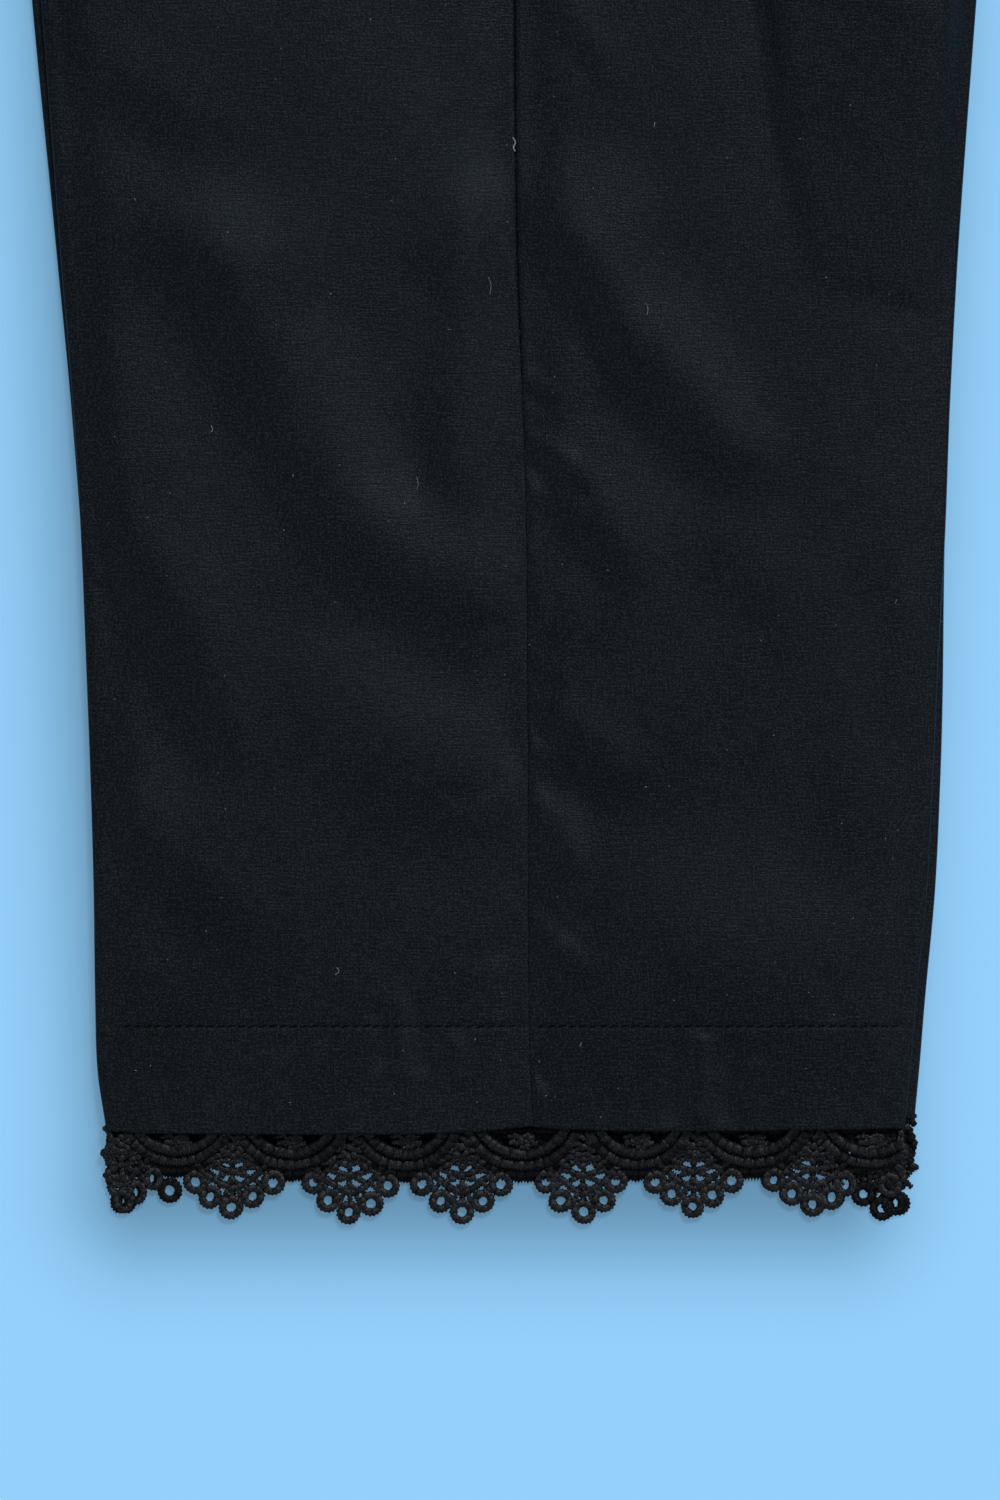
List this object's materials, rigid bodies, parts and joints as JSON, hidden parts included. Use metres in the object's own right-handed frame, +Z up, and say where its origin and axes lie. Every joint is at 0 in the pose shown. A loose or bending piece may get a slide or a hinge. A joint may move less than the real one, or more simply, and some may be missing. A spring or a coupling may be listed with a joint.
{
  "type": "pair of trousers folded lengthwise",
  "caption": "Black cotton trousers folded lengthwise and laid flat, with a lace trim of scallops and ring fans round each hem.",
  "frame": {"origin": "on the floor, under the middle of the folded garment's bounding box", "axes": "+X across the garment from the back crease to the front crease, +Y from the hem to the waist, +Z up"},
  "size_m": [0.3755, 0.9478, 0.0087],
  "materials": {
    "cloth": "black plain-woven cotton, matt with a faint sheen",
    "lace": "black satin-wrapped lace cord"
  },
  "bodies": {
    "root": {"right_front": "cloth", "right_back": "cloth", "left_leg": "cloth", "waistband": "cloth", "right_lace_upper": "lace", "right_lace_under": "lace", "left_lace_upper": "lace", "left_lace_under": "lace"}
  },
  "joints": []
}
